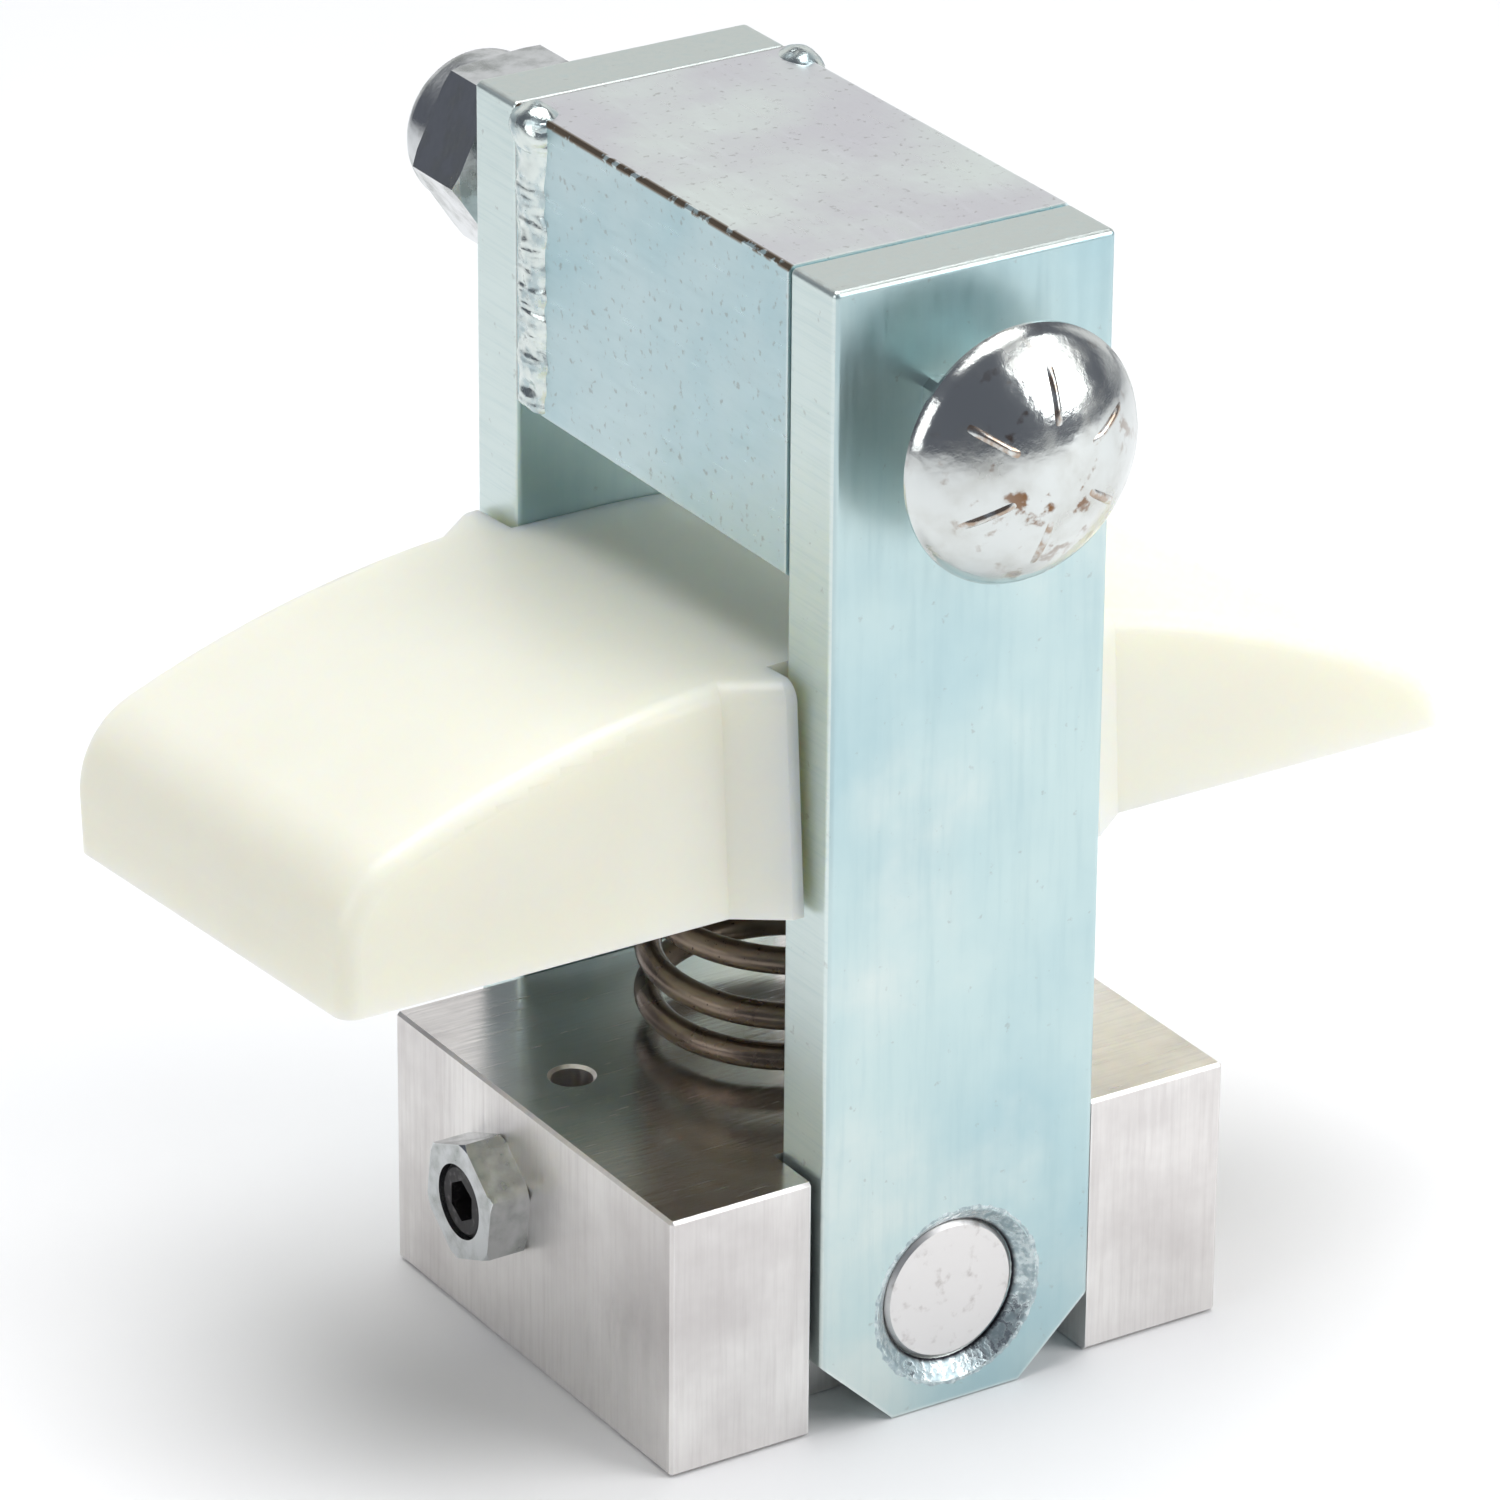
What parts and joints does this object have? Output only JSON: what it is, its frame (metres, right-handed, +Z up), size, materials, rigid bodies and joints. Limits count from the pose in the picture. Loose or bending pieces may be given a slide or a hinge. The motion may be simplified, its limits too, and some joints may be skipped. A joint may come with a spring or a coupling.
{
  "type": "sprung guide shoe on a pivoting two-arm frame",
  "caption": "Ivory nylon guide shoe on a coil spring, slotted between two steel flat-bar arms that pivot on a pin through an aluminium base block and carry a bolted square head.",
  "frame": {"origin": "underside of the base block, on the pin's centre line and on the centre plane between the two arms", "axes": "+X along the shoe's length, +Y from the bolt head towards the lock nut, +Z up from the base to the head block"},
  "size_m": [0.1541, 0.1321, 0.1466],
  "materials": {
    "aluminium": "satin",
    "turned_steel": "satin",
    "black_oxide": "matte",
    "zinc_plate": "satin",
    "bar_steel": "satin",
    "weld": "satin",
    "nut_nylon": "matte",
    "nylon": "satin",
    "spring_steel": "satin"
  },
  "bodies": {
    "base": {"base_block": "aluminium", "cross_pin": "turned_steel", "set_screw": "black_oxide", "jam_nut": "zinc_plate"},
    "frame": {"front_arm": "bar_steel", "back_arm": "bar_steel", "top_block": "bar_steel", "weld_left": "weld", "weld_right": "weld", "carriage_bolt": "zinc_plate", "lock_nut": "zinc_plate", "nut_insert": "nut_nylon"},
    "spring": {"spring": "spring_steel"},
    "shoe": {"shoe": "nylon"}
  },
  "joints": [
    {"name": "frame_swing", "type": "hinge", "parent": "base", "child": "frame", "pos_m": [0, 0, 0.014], "axis": [0, 1, 0], "range_deg": [-2, 2]},
    {"name": "spring_press", "type": "slide", "parent": "frame", "child": "spring", "axis": [0, 0, 1], "range_m": [-0.014, 0], "stiffness_N_per_m": 6000, "springref_m": 0.0005, "deforming": ["spring"]},
    {"name": "shoe_lift", "type": "slide", "parent": "spring", "child": "shoe", "axis": [0, 0, 1], "range_m": [0, 0.011]}
  ]
}
